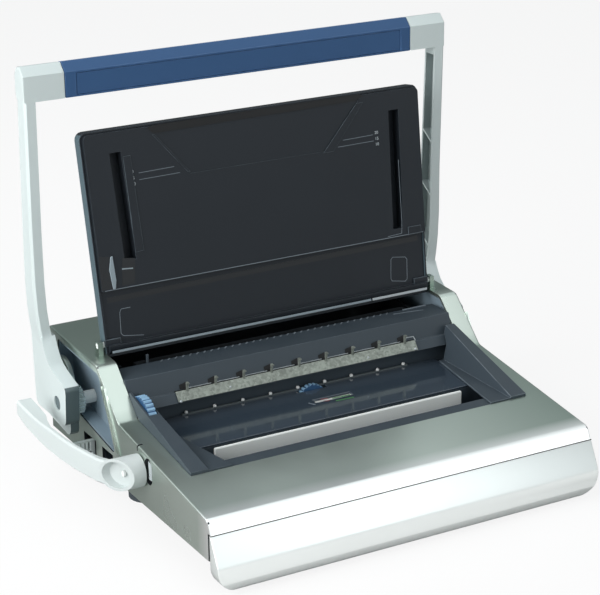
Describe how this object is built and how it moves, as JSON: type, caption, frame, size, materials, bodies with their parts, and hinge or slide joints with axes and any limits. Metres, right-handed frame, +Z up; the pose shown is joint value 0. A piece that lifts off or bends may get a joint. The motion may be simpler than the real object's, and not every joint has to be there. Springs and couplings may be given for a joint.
{
  "type": "wire binding machine",
  "caption": "Desk machine that punches sheets with a two-armed handle over the top and closes a wire spine with a side lever, with a hinged rear lid and a waste drawer.",
  "frame": {"origin": "middle of the footprint of the whole machine, lever and handle included, at desk level", "axes": "+X to the user's right, +Y to the back of the machine, +Z up"},
  "size_m": [0.536, 0.399, 0.4455],
  "materials": {
    "silver_paint": "satin silver paint with a green cast",
    "arm_paint": "satin light grey paint",
    "lever_white": "smooth off-white",
    "charcoal": "fine grained moulding",
    "dark_gloss": "polished",
    "slate": "fine grained moulding",
    "grip_blue": "soft matt moulding",
    "wheel_blue": "moulded",
    "steel": "brushed",
    "zinc_steel": "zinc plated",
    "rubber": "matt",
    "pale_plastic": "moulded"
  },
  "bodies": {
    "machine": {"upper_casing": "silver_paint", "base_pan": "charcoal", "front_foot_left": "rubber", "front_foot_right": "rubber", "rear_foot_left": "rubber", "rear_foot_right": "rubber", "side_foot_left": "rubber", "side_foot_right": "rubber", "recess_cup_left": "slate", "recess_cup_right": "slate", "gear_guard_left": "silver_paint", "gear_guard_right": "silver_paint", "vent_comb_left": "arm_paint", "vent_comb_right": "arm_paint", "insert_deck": "charcoal", "deck_plate": "dark_gloss", "gauge_axle": "steel", "side_rail_left": "charcoal", "side_rail_right": "charcoal", "guide_axle": "steel", "die_block": "zinc_steel", "hook_strip": "zinc_steel", "pin_rail": "pale_plastic", "dial_post": "steel", "frame_plate_left": "zinc_steel", "frame_plate_right": "zinc_steel", "hinge_pin_left": "steel", "hinge_pin_right": "steel"},
    "handle": {"handle_arm_left": "arm_paint", "handle_arm_right": "arm_paint", "grip": "grip_blue", "grip_inset": "grip_blue", "grip_tube": "steel", "pivot_cap_left": "rubber", "pivot_cap_right": "rubber", "drive_shaft": "steel", "handle_gear_left": "silver_paint", "handle_gear_right": "silver_paint", "drive_cam_left": "zinc_steel", "drive_cam_right": "zinc_steel"},
    "punch": {"punch_bar": "steel"},
    "lid": {"lid_shell": "slate", "lid_panel": "charcoal"},
    "lever": {"closing_lever": "lever_white", "lever_screw": "steel", "closing_shaft": "steel", "closing_cam_left": "zinc_steel", "closing_cam_right": "zinc_steel"},
    "bar": {"press_bar": "steel"},
    "thumb_wheel": {"guide_wheel": "wheel_blue"},
    "guide": {"edge_guide": "charcoal"},
    "deck_wheel": {"gauge_wheel": "wheel_blue"},
    "slide": {"gauge_slide": "pale_plastic"},
    "dial": {"gap_dial": "slate"},
    "drawer": {"drawer_front": "silver_paint", "drawer_tray": "charcoal"}
  },
  "joints": [
    {"name": "handle_turn", "type": "hinge", "parent": "machine", "child": "handle", "pos_m": [0.0165, 0.1165, 0.094], "axis": [1, 0, 0], "range_deg": [0, 95]},
    {"name": "punch_stroke", "type": "slide", "parent": "machine", "child": "punch", "axis": [0, -1, 0], "range_m": [0, 0.005]},
    {"name": "lid_hinge", "type": "hinge", "parent": "machine", "child": "lid", "pos_m": [0.0165, 0.0975, 0.156], "axis": [1, 0, 0], "range_deg": [0, 98]},
    {"name": "lever_turn", "type": "hinge", "parent": "machine", "child": "lever", "pos_m": [-0.2135, -0.0325, 0.07], "axis": [1, 0, 0], "range_deg": [0, 110]},
    {"name": "bar_stroke", "type": "slide", "parent": "machine", "child": "bar", "axis": [0, -1, 0], "range_m": [0, 0.021]},
    {"name": "thumb_wheel_turn", "type": "hinge", "parent": "machine", "child": "thumb_wheel", "pos_m": [-0.1735, 0.0205, 0.0995], "axis": [1, 0, 0], "range_deg": [-40, 40]},
    {"name": "guide_shift", "type": "slide", "parent": "machine", "child": "guide", "axis": [1, 0, 0], "range_m": [-0.006, 0.006]},
    {"name": "deck_wheel_turn", "type": "hinge", "parent": "machine", "child": "deck_wheel", "pos_m": [0.03, 0.036, 0.0725], "axis": [0, 1, 0], "range_deg": [-35, 35]},
    {"name": "slide_shift", "type": "slide", "parent": "machine", "child": "slide", "axis": [1, 0, 0], "range_m": [-0.01, 0.01]},
    {"name": "dial_turn", "type": "hinge", "parent": "machine", "child": "dial", "pos_m": [-0.1928, -0.0515, 0.075], "axis": [0, 0, 1], "range_deg": [-170, 170]},
    {"name": "drawer_slide", "type": "slide", "parent": "machine", "child": "drawer", "axis": [0, -1, 0], "range_m": [0, 0.12]}
  ],
  "couplings": [
    {"joint": "punch_stroke", "follows": "handle_turn", "m_per_rad": 0.003},
    {"joint": "bar_stroke", "follows": "lever_turn", "m_per_rad": 0.0109},
    {"joint": "guide_shift", "follows": "thumb_wheel_turn", "m_per_rad": 0.0085},
    {"joint": "slide_shift", "follows": "deck_wheel_turn", "m_per_rad": 0.0163}
  ]
}
